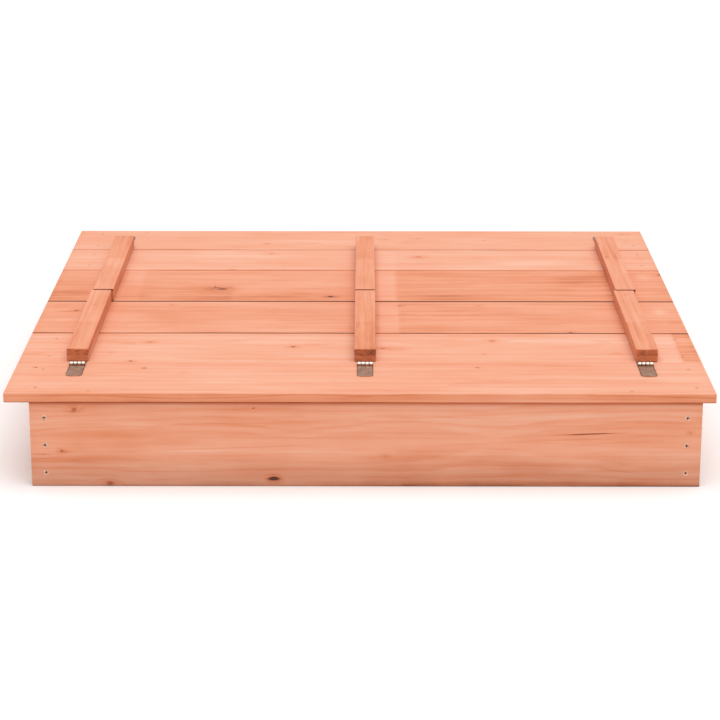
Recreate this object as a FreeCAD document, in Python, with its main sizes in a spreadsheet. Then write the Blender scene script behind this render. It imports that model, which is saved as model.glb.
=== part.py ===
import FreeCAD, Part
import os
import re

# A low wooden sandbox under a flat cover of six boards. The two outer boards at the front and the two
# outer boards at the rear are fixed and serve as bench seats. The two middle boards are the folding
# rests: each is screwed under three battens, which hinge on the seat and swing up and outward to make a
# backrest.
# Frame: the origin is on the ground under the centre of the cover, +X right, +Y to the rear, +Z up.

SIZES = [
    ("cover_width", 950, "cover, left to right"),
    ("cover_depth", 900, "cover, front to rear"),
    ("board_thick", 13, "thickness of the cover's boards"),
    ("edge_ease", 1.0, "rounding of every board's edges"),
    ("panel_height", 120, "height of the box's sides"),
    ("panel_thick", 13, "thickness of the box's sides"),
    ("overhang_left", 33, "cover past the left side"),
    ("overhang_right", 17, "cover past the right side"),
    ("overhang_front", 5, "cover past the front side"),
    ("overhang_rear", 5, "cover past the rear side"),
    ("post_width", 18, "corner post along X"),
    ("post_depth", 30, "corner post along Y"),
    ("post_drop", 2, "gap between a post's top and the cover"),
    ("front_outer_width", 139, "front outer seat board, front to rear"),
    ("front_inner_width", 144.6, "front inner seat board, front to rear"),
    ("rear_outer_width", 130.2, "rear outer seat board, front to rear"),
    ("rear_inner_width", 129.4, "rear inner seat board, front to rear"),
    ("seat_joint", 0.4, "joint between the two boards of a seat"),
    ("rest_joint", 2.0, "gap between a seat and its folding rest"),
    ("centre_joint", 2.5, "gap between the two folding rests"),
    ("centre_shift", 5, "middle of that gap, behind the cover's centre"),
    ("batten_width", 30, "batten along X"),
    ("batten_height", 18.5, "batten along Z"),
    ("batten_ease", 0.8, "rounding of a batten's edges"),
    ("left_batten_inset", 82.5, "left battens' middle from the cover's left edge"),
    ("right_batten_inset", 76.5, "right battens' middle from the cover's right edge"),
    ("middle_batten_shift", 7, "middle battens' middle from the cover's centre"),
    ("rear_left_step", 2.5, "rear left batten, to the right of the front one"),
    ("rear_right_step", 3.5, "rear right batten, to the right of the front one"),
    ("front_left_slip", 2, "front left hinge, to the right of its batten's middle"),
    ("front_right_slip", 4, "front right hinge, to the left of its batten's middle"),
    ("rear_right_slip", 1, "rear right hinge, to the left of its batten's middle"),
    ("batten_setback", 19, "batten's outer end from its hinge's pin"),
    ("rebate_length", 76, "rebate under a batten's hinge end"),
    ("rebate_depth", 1.4, "depth of that rebate"),
    ("front_axis_inset", 125, "front hinge axis from the cover's front edge"),
    ("rear_axis_inset", 92, "rear hinge axis from the cover's rear edge"),
    ("leaf_width", 22, "hinge leaf along its pin"),
    ("leaf_length", 50, "hinge leaf from its pin outward"),
    ("leaf_thick", 1.2, "thickness of a hinge leaf"),
    ("leaf_corner", 7, "rounding of a leaf's outer corners"),
    ("barrel_radius", 2.8, "outside radius of a knuckle"),
    ("barrel_lift", 0.3, "gap under the knuckles"),
    ("barrel_gap", 0.3, "gap round and between knuckles"),
    ("pin_radius", 1.15, "hinge pin"),
    ("pin_clearance", 0.05, "pin in its bore, on the radius"),
    ("pin_end", 0.5, "pin past the knuckles"),
    ("pin_round", 0.4, "rounding of a pin's ends"),
    ("seat_leaf_near", 9, "seat leaf's first screw from the pin"),
    ("seat_leaf_far", 45, "seat leaf's second screw from the pin"),
    ("rest_leaf_near", 27, "rest leaf's first screw from the pin"),
    ("rest_leaf_far", 44, "rest leaf's second screw from the pin"),
    ("post_screw_edge", 6.5, "panel screw from a side panel's inner face"),
    ("screw_low", 19.5, "lowest panel screw above the ground"),
    ("screw_high", 23, "highest panel screw below the panel's top"),
    ("nail_outer_edge", 26, "nail from a seat board's outer edge"),
    ("nail_inner_edge", 30, "nail from a seat board's other edges"),
    ("rim_nail_inset", 112, "nail into the front or rear panel, from the cover's side"),
    ("rest_screw_edge", 35, "rest screw from the rest board's edges"),
    ("wood_head", 4, "head radius of a wood screw"),
    ("wood_shank", 2, "shank radius of a wood screw"),
    ("hinge_head", 2.4, "head radius of a hinge screw"),
    ("hinge_shank", 1.3, "shank radius of a hinge screw"),
    ("nail_head", 2.2, "head radius of a nail"),
    ("nail_shank", 1.1, "shank radius of a nail"),
    ("nail_head_thick", 1.0, "thickness of a nail's head"),
    ("nail_head_taper", 0.2, "how much narrower a nail's head is underneath, on the radius"),
    ("nail_bite", 25, "nail below the board that it holds"),
    ("head_sink", 0.3, "wood screw's or nail's head below the surface"),
    ("screw_cover", 3, "wood left beyond a screw's tip"),
    ("tip_length", 4, "pointed end of a fastener"),
    ("tip_radius", 0.3, "radius of that point"),
    ("recess_reach", 1.15, "length of a screw's cross recess, in head radii"),
    ("recess_slot", 0.28, "width of the cross recess, in head radii"),
    ("recess_sink", 0.4, "depth of the cross recess, in head radii"),
    ("hole_clearance", 0.15, "hole round a fastener, on the radius"),
    ("cut_margin", 2, "how far a cut runs past the surface it opens"),
]

FRONT_EDGE = "(-cover_depth / 2)"
REAR_EDGE = "(cover_depth / 2)"
LEFT_EDGE = "(-cover_width / 2)"
RIGHT_EDGE = "(cover_width / 2)"
COVER_TOP = "(panel_height + board_thick)"

BOX_LEFT = "(%s + overhang_left)" % LEFT_EDGE
BOX_RIGHT = "(%s - overhang_right)" % RIGHT_EDGE
BOX_FRONT = "(%s + overhang_front)" % FRONT_EDGE
BOX_REAR = "(%s - overhang_rear)" % REAR_EDGE
INSIDE_LEFT = "(%s + panel_thick)" % BOX_LEFT
INSIDE_RIGHT = "(%s - panel_thick)" % BOX_RIGHT
INSIDE_FRONT = "(%s + panel_thick)" % BOX_FRONT
INSIDE_REAR = "(%s - panel_thick)" % BOX_REAR

FRONT_INNER = "(%s + front_outer_width + seat_joint)" % FRONT_EDGE
REAR_INNER = "(%s - rear_outer_width - seat_joint)" % REAR_EDGE
FRONT_REST = "(%s + front_inner_width + rest_joint)" % FRONT_INNER
REAR_REST = "(%s - rear_inner_width - rest_joint)" % REAR_INNER
CENTRE_FRONT = "(centre_shift - centre_joint / 2)"
CENTRE_REAR = "(centre_shift + centre_joint / 2)"

FRONT_AXIS = "(%s + front_axis_inset)" % FRONT_EDGE
REAR_AXIS = "(%s - rear_axis_inset)" % REAR_EDGE
AXIS_RISE = "(barrel_radius + barrel_lift)"
AXIS_HEIGHT = "(%s + %s)" % (COVER_TOP, AXIS_RISE)

BATTEN_X = {
    ("front", "left"): "(%s + left_batten_inset)" % LEFT_EDGE,
    ("front", "middle"): "(middle_batten_shift)",
    ("front", "right"): "(%s - right_batten_inset)" % RIGHT_EDGE,
    ("rear", "left"): "(%s + left_batten_inset + rear_left_step)" % LEFT_EDGE,
    ("rear", "middle"): "(middle_batten_shift)",
    ("rear", "right"): "(%s - right_batten_inset + rear_right_step)" % RIGHT_EDGE,
}
HINGE_X = dict(BATTEN_X)
HINGE_X["front", "left"] += " + front_left_slip"
HINGE_X["front", "right"] += " - front_right_slip"
HINGE_X["rear", "right"] += " - rear_right_slip"
PLACES = ("left", "middle", "right")
KNUCKLES = 4

X_AXIS = FreeCAD.Vector(1, 0, 0)
Y_AXIS = FreeCAD.Vector(0, 1, 0)
Z_AXIS = FreeCAD.Vector(0, 0, 1)
# Which way a fastener is driven: its own axis points down.
DRIVEN = {
    "down": FreeCAD.Rotation(X_AXIS, 0),
    "up": FreeCAD.Rotation(X_AXIS, 180),
    "rearward": FreeCAD.Rotation(X_AXIS, 90),
    "forward": FreeCAD.Rotation(X_AXIS, -90),
    "rightward": FreeCAD.Rotation(Y_AXIS, -90),
    "leftward": FreeCAD.Rotation(Y_AXIS, 90),
}

doc = FreeCAD.newDocument("sandbox_with_cover")
finished = []


def make_sheet():
    """The driving sizes, one row each: what it is, and its value under an alias."""
    sheet = doc.addObject("Spreadsheet::Sheet", "dim")
    for row, (alias, value, meaning) in enumerate(SIZES, 1):
        sheet.set("A%d" % row, meaning)
        sheet.set("B%d" % row, str(value))
        sheet.setAlias("B%d" % row, alias)
    doc.recompute()


ALIAS_WORDS = re.compile(r"\b(%s)\b" % "|".join(alias for alias, value, meaning in SIZES))


def bind(thing, formulas):
    """Tie an object's fields to formulas of the sheet's aliases."""
    for field, formula in formulas.items():
        thing.setExpression(field, ALIAS_WORDS.sub(r"dim.\1", formula))


def bind_place(thing, x, y, z):
    bind(thing, {"Placement.Base.x": x, "Placement.Base.y": y, "Placement.Base.z": z})


def add_block(body, kind, name, low, size):
    """An additive or subtractive block in a body, from its low corner and its size."""
    block = body.newObject("PartDesign::%sBox" % kind, name)
    bind(block, {"Length": size[0], "Width": size[1], "Height": size[2]})
    bind_place(block, *low)
    return block


def add_rod(body, kind, name, start, length, radius):
    """An additive or subtractive cylinder along X, centred on the body's own X axis."""
    rod = body.newObject("PartDesign::%sCylinder" % kind, name)
    rod.Placement.Rotation = FreeCAD.Rotation(Y_AXIS, 90)
    bind(rod, {"Radius": radius, "Height": length})
    bind_place(rod, start, "0", "0")
    return rod


def plank(name, low, size, ease):
    """A board with all its edges rounded, from its low corner and its size along X, Y and Z."""
    body = doc.addObject("PartDesign::Body", name + "_blank")
    block = add_block(body, "Additive", name + "_block", ("0", "0", "0"), size)
    doc.recompute()
    eased = body.newObject("PartDesign::Fillet", name + "_eased")
    eased.Base = (block, ["Edge%d" % (n + 1) for n in range(len(block.Shape.Edges))])
    bind(eased, {"Radius": ease})
    bind_place(body, *low)
    return body


def finish(name, blank, holes):
    """A finished piece: its blank with every hole that fasteners need in it."""
    cutters = doc.addObject("Part::Compound", name + "_cutters")
    cutters.Links = holes
    piece = doc.addObject("Part::Cut", name)
    piece.Base = blank
    piece.Tool = cutters
    finished.append(piece)


# Fasteners. Each kind is drawn twice, pointing down from the surface at its origin: the fastener itself,
# and the hole that it needs.

def fastener_master(name, head, neck, shank, head_thick, sink, length, grown):
    """A fastener, or with grown set its hole: a head that tapers to neck, a shank and a point."""
    body = doc.addObject("PartDesign::Body", name)
    extra = " + hole_clearance" if grown else ""
    cone = body.newObject("PartDesign::AdditiveCone", name + "_head")
    bind(cone, {"Radius1": neck + extra, "Radius2": head + extra, "Height": head_thick})
    bind_place(cone, "0", "0", "-(%s) - (%s)" % (sink, head_thick))
    rod = body.newObject("PartDesign::AdditiveCylinder", name + "_shank")
    bind(rod, {"Radius": shank + extra, "Height": "%s - tip_length" % length})
    bind_place(rod, "0", "0", "-(%s) - (%s) + tip_length" % (sink, length))
    tip = body.newObject("PartDesign::AdditiveCone", name + "_tip")
    bind(tip, {"Radius1": "tip_radius" + extra, "Radius2": shank + extra, "Height": "tip_length" + extra})
    bind_place(tip, "0", "0", "-(%s) - (%s)%s" % (sink, length, extra.replace("+", "-")))
    if grown:
        mouth = body.newObject("PartDesign::AdditiveCylinder", name + "_mouth")
        bind(mouth, {"Radius": head + extra, "Height": "%s + cut_margin" % sink})
        bind_place(mouth, "0", "0", "-(%s)" % sink)
    return body


def cut_cross(body, name, head, sink):
    """The cross recess in a screw's head."""
    reach = "(%s * recess_reach)" % head
    slot = "(%s * recess_slot)" % head
    depth = "(%s * recess_sink)" % head
    for arm, (along_x, along_y) in enumerate(((reach, slot), (slot, reach))):
        low = ("-%s / 2" % along_x, "-%s / 2" % along_y, "-(%s) - %s" % (sink, depth))
        size = (along_x, along_y, "%s + cut_margin" % depth)
        add_block(body, "Subtractive", "%s_arm_%d" % (name, arm), low, size)


def screw_kind(name, head, shank, sink, length):
    """A countersunk screw: its cone is as tall as it is wider than the shank, which is 90 degrees."""
    cone = "(%s - %s)" % (head, shank)
    screw = fastener_master(name, head, shank, shank, cone, sink, length, False)
    cut_cross(screw, name, head, sink)
    hole = fastener_master(name + "_hole", head, shank, shank, cone, sink, length, True)
    return screw, hole


def nail_kind(name, length):
    """A nail with a flat head."""
    neck = "(nail_head - nail_head_taper)"
    shape = ("nail_head", neck, "nail_shank", "nail_head_thick", "head_sink", length)
    nail = fastener_master(name, *shape, False)
    hole = fastener_master(name + "_hole", *shape, True)
    return nail, hole


def fastener_group(name, kind, way, spots):
    """Copies of one kind at each spot on the surface, as one node, and the holes that they need."""
    groups = []
    for master, group_name in zip(kind, (name, name + "_holes")):
        copies = []
        for number, spot in enumerate(spots, 1):
            copy = doc.addObject("App::Link", "%s_%d" % (group_name, number))
            copy.LinkedObject = master
            copy.Placement.Rotation = DRIVEN[way]
            bind_place(copy, *spot)
            copies.append(copy)
        group = doc.addObject("Part::Compound", group_name)
        group.Links = copies
        groups.append(group)
    finished.append(groups[0])
    return groups[1]


# Where the fasteners go.

def panel_screw_heights():
    """Three heights for the front and rear panels, and two between them for the sides."""
    low = "screw_low"
    high = "(panel_height - screw_high)"
    middle = "((%s + %s) / 2)" % (low, high)
    between = ["((%s + %s) / 2)" % (low, middle), "((%s + %s) / 2)" % (middle, high)]
    return [low, middle, high], between


def box_screw_groups():
    """Screws through the four panels into the corner posts."""
    length = "(panel_thick + post_width - screw_cover)"
    kind = screw_kind("panel_screw", "wood_head", "wood_shank", "head_sink", length)
    long_heights, side_heights = panel_screw_heights()
    columns = ("%s + post_screw_edge" % INSIDE_LEFT, "%s - post_screw_edge" % INSIDE_RIGHT)
    rows = ("%s + post_depth / 2" % INSIDE_FRONT, "%s - post_depth / 2" % INSIDE_REAR)
    holes = {}
    for side, face, way in (("front", BOX_FRONT, "rearward"), ("rear", BOX_REAR, "forward")):
        spots = [(x, face, z) for x in columns for z in long_heights]
        holes[side] = fastener_group(side + "_panel_screws", kind, way, spots)
    for side, face, way in (("left", BOX_LEFT, "rightward"), ("right", BOX_RIGHT, "leftward")):
        spots = [(face, y, z) for y in rows for z in side_heights]
        holes[side] = fastener_group(side + "_panel_screws", kind, way, spots)
    return holes


def seat_nail_groups():
    """Nails down through the seats into the side panels, and into the front and rear panels."""
    kind = nail_kind("seat_nail", "(board_thick + nail_bite)")
    sides = ("%s - panel_thick / 2" % INSIDE_LEFT, "%s + panel_thick / 2" % INSIDE_RIGHT)
    rims = ("%s + rim_nail_inset" % LEFT_EDGE, "%s - rim_nail_inset" % RIGHT_EDGE)
    rows = {
        "front": (
            "%s + nail_outer_edge" % FRONT_EDGE,
            "%s + front_outer_width - nail_inner_edge" % FRONT_EDGE,
            "%s + nail_inner_edge" % FRONT_INNER,
            "%s + front_inner_width - nail_inner_edge" % FRONT_INNER,
        ),
        "rear": (
            "%s - nail_outer_edge" % REAR_EDGE,
            "%s - rear_outer_width + nail_inner_edge" % REAR_EDGE,
            "%s - nail_inner_edge" % REAR_INNER,
            "%s - rear_inner_width + nail_inner_edge" % REAR_INNER,
        ),
    }
    rim_row = {"front": "%s - panel_thick / 2" % INSIDE_FRONT, "rear": "%s + panel_thick / 2" % INSIDE_REAR}
    holes = {}
    for end in ("front", "rear"):
        spots = [(x, y, COVER_TOP) for x in sides for y in rows[end]]
        spots += [(x, rim_row[end], COVER_TOP) for x in rims]
        holes[end] = fastener_group(end + "_seat_nails", kind, "down", spots)
    return holes


def rest_screw_groups():
    """Screws up through each rest board into its battens."""
    length = "(board_thick + batten_height - screw_cover)"
    kind = screw_kind("rest_screw", "wood_head", "wood_shank", "head_sink", length)
    edges = {"front": (FRONT_REST, CENTRE_FRONT), "rear": (CENTRE_REAR, REAR_REST)}
    holes = {}
    for end, (low, high) in edges.items():
        rows = ("%s + rest_screw_edge" % low, "%s - rest_screw_edge" % high)
        spots = [(BATTEN_X[end, place], y, "panel_height") for place in PLACES for y in rows]
        holes[end] = fastener_group(end + "_rest_screws", kind, "up", spots)
    return holes


def hinge_screw_groups():
    """Screws through the seat leaves into the seats, and through the rest leaves into the battens."""
    length = "(leaf_thick + board_thick - screw_cover)"
    kind = screw_kind("hinge_screw", "hinge_head", "hinge_shank", "0", length)
    seat_face = "%s + leaf_thick" % COVER_TOP
    rest_face = "%s + rebate_depth - leaf_thick" % COVER_TOP
    holes = {}
    for end, axis, outward in (("front", FRONT_AXIS, "-"), ("rear", REAR_AXIS, "+")):
        inward = "+" if outward == "-" else "-"
        leaves = (("seat", seat_face, outward, "down"), ("rest", rest_face, inward, "up"))
        for leaf, face, sign, way in leaves:
            rows = ["%s %s %s_leaf_%s" % (axis, sign, leaf, reach) for reach in ("near", "far")]
            spots = [(HINGE_X[end, place], y, face) for place in PLACES for y in rows]
            holes[end, leaf] = fastener_group("%s_%s_hinge_screws" % (end, leaf), kind, way, spots)
    return holes


# The box.

def make_panels(screws, nails):
    """Front and rear panels over the full width, with the side panels between them."""
    width = "%s - %s" % (BOX_RIGHT, BOX_LEFT)
    for end, low_y in (("front", BOX_FRONT), ("rear", INSIDE_REAR)):
        size = (width, "panel_thick", "panel_height")
        blank = plank(end + "_panel", (BOX_LEFT, low_y, "0"), size, "edge_ease")
        finish(end + "_panel", blank, [screws[end], nails[end]])
    depth = "%s - %s" % (INSIDE_REAR, INSIDE_FRONT)
    for side, low_x in (("left", BOX_LEFT), ("right", INSIDE_RIGHT)):
        size = ("panel_thick", depth, "panel_height")
        blank = plank(side + "_panel", (low_x, INSIDE_FRONT, "0"), size, "edge_ease")
        finish(side + "_panel", blank, [screws[side], nails["front"], nails["rear"]])


def make_posts(screws):
    """A post in each corner, against the two panels that meet there."""
    size = ("post_width", "post_depth", "panel_height - post_drop")
    for end, low_y in (("front", INSIDE_FRONT), ("rear", "%s - post_depth" % INSIDE_REAR)):
        for side, low_x in (("left", INSIDE_LEFT), ("right", "%s - post_width" % INSIDE_RIGHT)):
            name = "corner_post_%s_%s" % (end, side)
            blank = plank(name, (low_x, low_y, "0"), size, "edge_ease")
            finish(name, blank, [screws[end], screws[side]])


# The cover.

def make_seats(nails, hinge_screws):
    """Two boards side by side at each end of the cover."""
    boards = (
        ("front_outer", "front", FRONT_EDGE, "front_outer_width"),
        ("front_inner", "front", FRONT_INNER, "front_inner_width"),
        ("rear_inner", "rear", "%s - rear_inner_width" % REAR_INNER, "rear_inner_width"),
        ("rear_outer", "rear", "%s - rear_outer_width" % REAR_EDGE, "rear_outer_width"),
    )
    for label, end, low_y, width in boards:
        name = label + "_seat_board"
        size = ("cover_width", width, "board_thick")
        blank = plank(name, (LEFT_EDGE, low_y, "panel_height"), size, "edge_ease")
        finish(name, blank, [nails[end], hinge_screws[end, "seat"]])


def make_rest_boards(rest_screws):
    """The middle board of each folding rest, from its seat to the gap at the centre."""
    for end, low_y, high_y in (("front", FRONT_REST, CENTRE_FRONT), ("rear", CENTRE_REAR, REAR_REST)):
        name = end + "_rest_board"
        size = ("cover_width", "%s - %s" % (high_y, low_y), "board_thick")
        blank = plank(name, (LEFT_EDGE, low_y, "panel_height"), size, "edge_ease")
        finish(name, blank, [rest_screws[end]])


def make_batten(end, place, holes):
    """A batten from its hinge to the centre, with a rebate for the hinge leaf under its outer end."""
    name = "%s_batten_%s" % (end, place)
    if end == "front":
        low_y, high_y = "(%s + batten_setback)" % FRONT_AXIS, CENTRE_FRONT
        rebate_y = "-cut_margin"
    else:
        low_y, high_y = CENTRE_REAR, "(%s - batten_setback)" % REAR_AXIS
        rebate_y = "%s - %s - rebate_length" % (high_y, low_y)
    low_x = "%s - batten_width / 2" % BATTEN_X[end, place]
    size = ("batten_width", "%s - %s" % (high_y, low_y), "batten_height")
    blank = plank(name, (low_x, low_y, COVER_TOP), size, "batten_ease")
    doc.recompute()
    low = ("-cut_margin", rebate_y, "-cut_margin")
    cut = ("batten_width + 2 * cut_margin", "rebate_length + cut_margin", "rebate_depth + cut_margin")
    add_block(blank, "Subtractive", name + "_rebate", low, cut)
    finish(name, blank, holes)


# The hinges, drawn with the pin along X at the origin and the rest on the +Y side.

def knuckle_span(number, extra):
    """Where one knuckle starts along the pin, and its length, each end moved out by extra."""
    start = "-leaf_width / 2 + leaf_width / %d * %d - (%s)" % (KNUCKLES, number, extra)
    length = "leaf_width / %d + 2 * (%s)" % (KNUCKLES, extra)
    return start, length


def turn_into_place(body, end, place):
    """Put a hinge piece on its axis, turned about for the rear hinges."""
    body.Placement.Rotation = FreeCAD.Rotation(Z_AXIS, 0 if end == "front" else 180)
    axis = FRONT_AXIS if end == "front" else REAR_AXIS
    bind_place(body, HINGE_X[end, place], axis, AXIS_HEIGHT)


def make_leaf(name, end, place, low_y, low_z, own_knuckles, holes):
    """A flat leaf with rounded outer corners and its share of the knuckles."""
    body = doc.addObject("PartDesign::Body", name + "_blank")
    size = ("leaf_width", "leaf_length", "leaf_thick")
    plate = add_block(body, "Additive", name + "_plate", ("-leaf_width / 2", low_y, low_z), size)
    doc.recompute()
    far = max((corner.Point.y for corner in plate.Shape.Vertexes), key=abs)
    corners = []
    for number, edge in enumerate(plate.Shape.Edges, 1):
        ends = [corner.Point for corner in edge.Vertexes]
        if abs(ends[0].z - ends[1].z) > 0.1 and abs(ends[0].y - far) < 0.1:
            corners.append("Edge%d" % number)
    rounded = body.newObject("PartDesign::Fillet", name + "_corners")
    rounded.Base = (plate, corners)
    bind(rounded, {"Radius": "leaf_corner"})
    for number in range(KNUCKLES):
        if number in own_knuckles:
            continue
        start, length = knuckle_span(number, "barrel_gap / 2")
        low = (start, "-barrel_radius - barrel_gap", "-barrel_radius - barrel_lift - cut_margin")
        slot = (length, "2 * (barrel_radius + barrel_gap)", "2 * (barrel_radius + cut_margin)")
        add_block(body, "Subtractive", "%s_slot_%d" % (name, number), low, slot)
    for number in own_knuckles:
        start, length = knuckle_span(number, "-barrel_gap / 2")
        add_rod(body, "Additive", "%s_knuckle_%d" % (name, number), start, length, "barrel_radius")
    bore = ("-leaf_width / 2 - cut_margin", "leaf_width + 2 * cut_margin", "pin_radius + pin_clearance")
    add_rod(body, "Subtractive", name + "_bore", *bore)
    turn_into_place(body, end, place)
    finish(name, body, holes)


def make_pin(end, place):
    """The pin, a little longer than the knuckles, with rounded ends."""
    name = "%s_hinge_pin_%s" % (end, place)
    body = doc.addObject("PartDesign::Body", name)
    span = ("-leaf_width / 2 - pin_end", "leaf_width + 2 * pin_end")
    rod = add_rod(body, "Additive", name + "_rod", *span, "pin_radius")
    doc.recompute()
    rims = [number for number, edge in enumerate(rod.Shape.Edges, 1) if len(edge.Vertexes) == 1]
    rounded = body.newObject("PartDesign::Fillet", name + "_ends")
    rounded.Base = (rod, ["Edge%d" % number for number in rims])
    bind(rounded, {"Radius": "pin_round"})
    turn_into_place(body, end, place)
    finished.append(body)


def make_hinge(end, place, holes):
    """One hinge: the seat leaf holds knuckles 0 and 2, and the rest leaf knuckles 1 and 3."""
    seat_name = "%s_seat_leaf_%s" % (end, place)
    make_leaf(seat_name, end, place, "-leaf_length", "-%s" % AXIS_RISE, (0, 2), [holes[end, "seat"]])
    rest_name = "%s_rest_leaf_%s" % (end, place)
    rest_low = "rebate_depth - leaf_thick - %s" % AXIS_RISE
    make_leaf(rest_name, end, place, "0", rest_low, (1, 3), [holes[end, "rest"]])
    make_pin(end, place)


def make_everything():
    make_sheet()
    panel_screws = box_screw_groups()
    nails = seat_nail_groups()
    rest_screws = rest_screw_groups()
    hinge_screws = hinge_screw_groups()
    make_panels(panel_screws, nails)
    make_posts(panel_screws)
    make_seats(nails, hinge_screws)
    make_rest_boards(rest_screws)
    for end in ("front", "rear"):
        for place in PLACES:
            make_batten(end, place, [rest_screws[end], hinge_screws[end, "rest"]])
            make_hinge(end, place, hinge_screws)
    doc.recompute()


def check_and_write():
    """Stop if any object failed or any piece is empty or invalid, and then write each piece's file."""
    bad = {"Invalid", "Error"}
    failed = [thing.Label for thing in doc.Objects if bad & set(thing.State)]
    failed += [piece.Label for piece in finished if piece.Shape.isNull() or not piece.Shape.isValid()]
    failed += [piece.Label for piece in finished if not piece.Shape.Solids]
    if failed:
        raise RuntimeError("failed: " + ", ".join(failed))
    os.makedirs("parts", exist_ok=True)
    for piece in finished:
        piece.Shape.exportStep("parts/%s.step" % piece.Label)
    print("wrote", len(finished), "pieces")


make_everything()
check_and_write()
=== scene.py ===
import math

import bpy
from mathutils import Matrix, Vector


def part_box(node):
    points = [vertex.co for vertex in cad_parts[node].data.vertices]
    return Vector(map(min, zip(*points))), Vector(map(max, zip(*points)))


# A wooden sandbox under a folding cover of boards and battens, in orange stained fir with small steel
# hinges. Every shape comes from the CAD nodes. This script gives them their timber and steel, and adds
# the floor, the light and the camera.
#
# Materials are worked out in millimetres. Wood has its board's own axes: along the grain, across the
# board, and through its thickness. Its colour is one number, the stain: 0 is palest, 1 is darkest.
#
# A reach is a pair: where an effect starts and where it is full. Where four numbers stand in its place,
# the last two are how strong the effect is at the start and when full.

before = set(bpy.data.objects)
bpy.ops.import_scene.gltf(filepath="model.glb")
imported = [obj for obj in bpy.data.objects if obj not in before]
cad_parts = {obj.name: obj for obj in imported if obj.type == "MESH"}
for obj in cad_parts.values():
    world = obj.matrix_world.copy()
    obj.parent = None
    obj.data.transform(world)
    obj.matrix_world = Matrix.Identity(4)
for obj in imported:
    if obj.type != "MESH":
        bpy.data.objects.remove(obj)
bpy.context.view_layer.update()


# Node trees.

class Graph:
    """A node tree being written. Most methods add a node and give back its output."""

    def __init__(self, tree):
        self.tree = tree

    def node(self, kind, inputs, **fields):
        """A new node with its fields set, and each input, by name or number, joined or set."""
        node = self.tree.nodes.new(kind)
        for field, value in fields.items():
            setattr(node, field, value)
        for key, value in inputs.items():
            if isinstance(value, bpy.types.NodeSocket):
                self.tree.links.new(value, node.inputs[key])
            else:
                node.inputs[key].default_value = value
        return node

    def add(self, kind, inputs, output=0, **fields):
        return self.node(kind, inputs, **fields).outputs[output]

    def use(self, group, inputs):
        """A node group's outputs, by name."""
        return self.node("ShaderNodeGroup", inputs, node_tree=group).outputs

    def math(self, operation, *values):
        return self.add("ShaderNodeMath", dict(enumerate(values)), operation=operation)

    def vector(self, operation, *values):
        return self.add("ShaderNodeVectorMath", dict(enumerate(values)), operation=operation)

    def length(self, value):
        return self.add("ShaderNodeVectorMath", {0: value}, output="Value", operation="LENGTH")

    def total(self, first, *others):
        for other in others:
            first = self.math("ADD", first, other)
        return first

    def product(self, first, *others):
        for other in others:
            first = self.math("MULTIPLY", first, other)
        return first

    def one_less(self, value):
        return self.math("SUBTRACT", 1.0, value)

    def swing(self, value, amount):
        """value less a half, times amount: noise turned into a push either way."""
        return self.product(self.math("SUBTRACT", value, 0.5), amount)

    def ease(self, value, start, end, low=0.0, high=1.0):
        """A smooth step from low at start to high at end."""
        inputs = {"Value": value, "From Min": start, "From Max": end, "To Min": low, "To Max": high}
        return self.add("ShaderNodeMapRange", inputs, interpolation_type="SMOOTHSTEP")

    def noise(self, place, texture):
        """Noise from about 0 to 1. Its texture is how often it changes in a millimetre of each axis, its
        detail, and how rough that detail is."""
        grain, detail, roughness = texture
        inputs = {"Vector": self.vector("MULTIPLY", place, grain), "Scale": 1.0, "Detail": detail,
                  "Roughness": roughness}
        return self.add("ShaderNodeTexNoise", inputs)

    def split(self, vector):
        return self.node("ShaderNodeSeparateXYZ", {0: vector}).outputs

    def join(self, *parts):
        return self.add("ShaderNodeCombineXYZ", dict(enumerate(parts)))

    def ramp(self, factor, stops):
        """The colour at factor, from stops of (position, colour)."""
        node = self.node("ShaderNodeValToRGB", {0: factor})
        points = node.color_ramp.elements
        while len(points) < len(stops):
            points.new(0.5)
        for point, (position, colour) in zip(points, stops):
            point.position = position
            point.color = (*colour, 1.0)
        return node.outputs[0]

    def blend(self, factor, first, second, mode="MIX"):
        colour_a, colour_b, colour_result = 6, 7, 2
        inputs = {"Factor": factor, colour_a: first, colour_b: second}
        return self.add("ShaderNodeMix", inputs, output=colour_result, data_type="RGBA", blend_type=mode)


def new_group(name, inputs, outputs):
    """An empty node group: its tree as a Graph, and what comes in and what goes out, both by name."""
    tree = bpy.data.node_groups.new(name, "ShaderNodeTree")
    for side, sockets in (("INPUT", inputs), ("OUTPUT", outputs)):
        for socket, kind in sockets.items():
            tree.interface.new_socket(name=socket, in_out=side, socket_type="NodeSocket" + kind)
    source = tree.nodes.new("NodeGroupInput")
    sink = tree.nodes.new("NodeGroupOutput")
    return Graph(tree), source.outputs, sink.inputs


def new_material(name):
    """A plain material: itself, its tree as a Graph, and its shader."""
    material = bpy.data.materials.new(name)
    material.use_nodes = True
    return material, Graph(material.node_tree), material.node_tree.nodes["Principled BSDF"]


def spot_group():
    """An oval spot, 1 at its centre and 0 at its rim. Slope tilts it off the grain."""
    inputs = {"Place": "Vector", "Centre": "Vector", "Reach": "Vector", "Slope": "Float"}
    g, source, sink = new_group("spot", inputs, {"Amount": "Float"})
    from_centre = g.split(g.vector("SUBTRACT", source["Place"], source["Centre"]))
    along = from_centre[0]
    across = g.math("SUBTRACT", from_centre[1], g.product(along, source["Slope"]))
    shape = g.vector("DIVIDE", g.join(along, across, 0.0), source["Reach"])
    g.tree.links.new(g.ease(g.length(shape), 1.0, 0.0), sink["Amount"])
    return g.tree


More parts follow.
